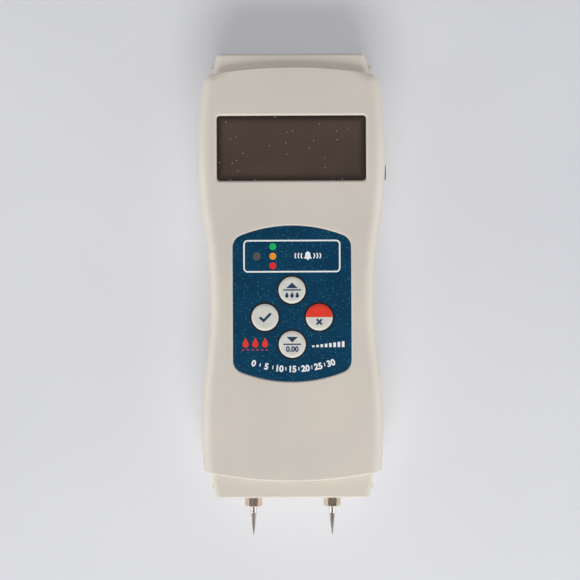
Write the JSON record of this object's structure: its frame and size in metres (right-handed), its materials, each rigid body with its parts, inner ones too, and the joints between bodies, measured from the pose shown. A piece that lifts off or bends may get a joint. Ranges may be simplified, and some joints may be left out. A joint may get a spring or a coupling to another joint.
{
  "type": "moisture meter",
  "caption": "Pin-type handheld moisture meter: waisted two-shell case with display window, round-key pad, needle electrodes, battery door and probe socket.",
  "frame": {"origin": "on the flat back face, on the centre line, within half a millimetre of half way along the overall length from the needle points to the end of the display neck", "axes": "+Z out of the back face through the front face, +Y towards the display end, -Y towards the needle points, +X to the right as the display is read"},
  "size_m": [0.0626, 0.1604, 0.0262],
  "materials": {
    "case": "satin warm light grey moulded plastic",
    "lens": "smoked acrylic",
    "smoked_pane": "smoked film",
    "panel": "printed blue film with a fine grain",
    "key": "satin off-white plastic",
    "display_glass": "liquid crystal glass",
    "display_frame": "black plastic",
    "foam": "soft foam",
    "contact_rubber": "silicone",
    "board": "green solder mask",
    "chip": "black epoxy",
    "black_plastic": "black plastic",
    "lamp": "clear red epoxy",
    "battery": "plain printed sleeve",
    "contact_metal": "nickel plate",
    "needle": "polished steel",
    "nut": "nickel-plated brass",
    "socket": "turned brass",
    "insulator": "insulating plastic",
    "lead": "insulated wire",
    "screw": "zinc-plated steel"
  },
  "bodies": {
    "root": {"alarm_lamp": "lamp", "back_case": "case", "battery_1": "battery", "battery_2": "battery", "battery_3": "battery", "battery_4": "battery", "battery_springs": "contact_metal", "board_parts": "chip", "board_screws": "screw", "buzzer": "black_plastic", "case_screws": "screw", "circuit_board": "board", "contact_strips": "contact_rubber", "display_frame": "display_frame", "display_gasket": "foam", "display_glass": "display_glass", "display_window": "lens", "electrode_holder": "insulator", "electrode_lead_left": "lead", "electrode_lead_right": "lead", "front_case": "case", "keypad_panel": "panel", "lamp_window": "smoked_pane", "lower_contacts": "contact_metal", "main_chip": "chip", "pin_left": "needle", "pin_nut_left": "nut", "pin_nut_right": "nut", "pin_right": "needle", "pin_socket_left": "socket", "pin_socket_right": "socket", "probe_jack": "black_plastic", "switch_housings": "black_plastic", "upper_contacts": "contact_metal"},
    "up_key": {"key_up": "key", "switch_plunger_up": "black_plastic"},
    "down_key": {"key_down": "key", "switch_plunger_down": "black_plastic"},
    "set_key": {"key_set": "key", "switch_plunger_set": "black_plastic"},
    "esc_key": {"key_esc": "key", "switch_plunger_esc": "black_plastic"},
    "door": {"battery_door": "case"}
  },
  "joints": [
    {"name": "key_up_press", "type": "slide", "parent": "root", "child": "up_key", "axis": [0, 0, -1], "range_m": [0, 0.0005], "stiffness_N_per_m": 3000, "springref_m": -0.0002},
    {"name": "key_down_press", "type": "slide", "parent": "root", "child": "down_key", "axis": [0, 0, -1], "range_m": [0, 0.0005], "stiffness_N_per_m": 3000, "springref_m": -0.0002},
    {"name": "key_set_press", "type": "slide", "parent": "root", "child": "set_key", "axis": [0, 0, -1], "range_m": [0, 0.0005], "stiffness_N_per_m": 3000, "springref_m": -0.0002},
    {"name": "key_esc_press", "type": "slide", "parent": "root", "child": "esc_key", "axis": [0, 0, -1], "range_m": [0, 0.0005], "stiffness_N_per_m": 3000, "springref_m": -0.0002},
    {"name": "battery_door_slide", "type": "slide", "parent": "root", "child": "door", "axis": [0, -1, 0], "range_m": [0, 0.058]}
  ]
}
